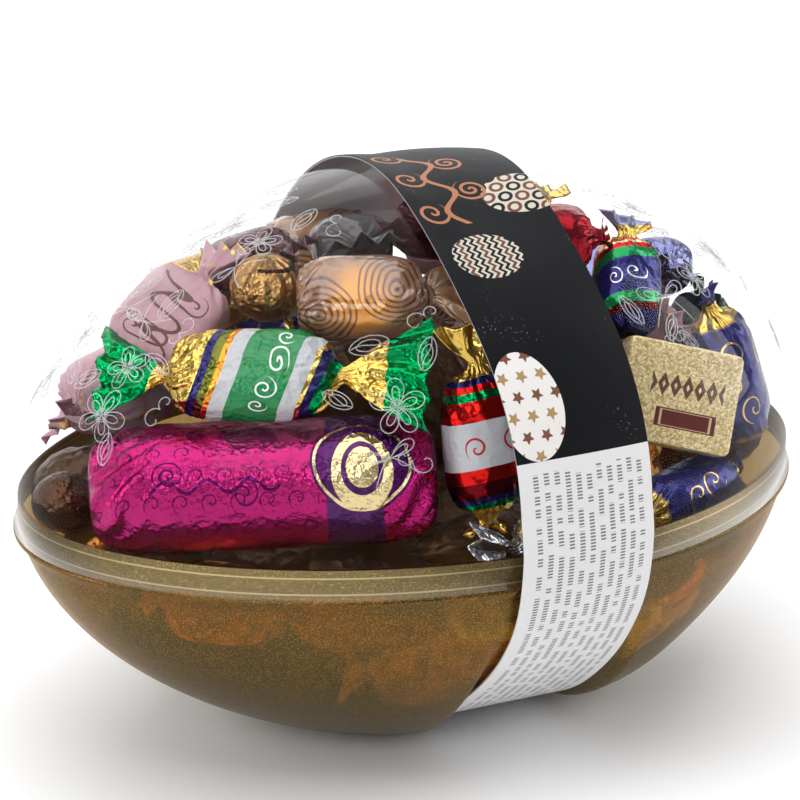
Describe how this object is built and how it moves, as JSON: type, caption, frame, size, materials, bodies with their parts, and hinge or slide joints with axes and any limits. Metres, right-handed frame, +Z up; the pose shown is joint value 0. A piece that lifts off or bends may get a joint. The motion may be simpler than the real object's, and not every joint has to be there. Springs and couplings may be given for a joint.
{
  "type": "easter egg of wrapped chocolates",
  "caption": "Easter egg of gold-tinted plastic with a clear lid and a printed paper band, filled with foil-wrapped and twist-wrapped chocolates; it lies on flats under its base.",
  "frame": {"origin": "on the surface it lies on, under the middle of the egg's length", "axes": "+X along the egg's long axis to its blunter end, +Z up, +Y to the back as pictured"},
  "size_m": [0.21, 0.1502, 0.1448],
  "materials": {
    "gold_plastic": "olive-gold tinted, see-through, with fine glitter",
    "clear_plastic": "clear, with raised outlines of flowers and leaves",
    "printed_paper": "black card with white, copper and gold print",
    "mixed_sweets": "mixed foils seen through the base",
    "magenta_foil": "crinkled metallic foil",
    "green_foil": "crinkled metallic foil",
    "rose_paper": "waxed paper, satin",
    "gold_foil": "crinkled foil",
    "clear_film": "clear printed film over caramel",
    "grey_film": "dark see-through film",
    "maroon_film": "dark shiny film",
    "red_foil": "crinkled metallic foil",
    "silver_foil": "crinkled foil",
    "brown_foil": "dark metallic foil",
    "blue_foil": "crinkled metallic foil",
    "lavender_foil": "crinkled metallic foil",
    "dark_green_foil": "crinkled metallic foil"
  },
  "bodies": {
    "root": {"base": "gold_plastic", "lid": "clear_plastic", "band": "printed_paper", "filling": "mixed_sweets", "marzipan_bar": "magenta_foil", "green_sweet": "green_foil", "pink_sweet": "rose_paper", "foil_ball": "gold_foil", "caramel_sweet": "clear_film", "film_sweet": "grey_film", "maroon_sweet": "maroon_film", "plum_sweet": "maroon_film", "red_sweet": "red_foil", "silver_sweet": "silver_foil", "mauve_sweet": "rose_paper", "brown_ball": "brown_foil", "ruby_sweet": "red_foil", "striped_sweet": "blue_foil", "lavender_sweet": "lavender_foil", "fir_sweet": "dark_green_foil", "blush_sweet": "rose_paper", "royal_sweet": "blue_foil", "gold_block": "gold_foil", "navy_sweet": "blue_foil", "banded_sweet": "green_foil", "amber_sweet": "clear_film", "back_mauve": "rose_paper", "back_blue": "blue_foil", "back_red": "red_foil", "back_green": "green_foil", "back_gold": "gold_foil", "back_caramel": "clear_film", "back_rose": "rose_paper", "back_lavender": "lavender_foil", "top_gold": "gold_foil", "tip_ball": "brown_foil"}
  },
  "joints": []
}
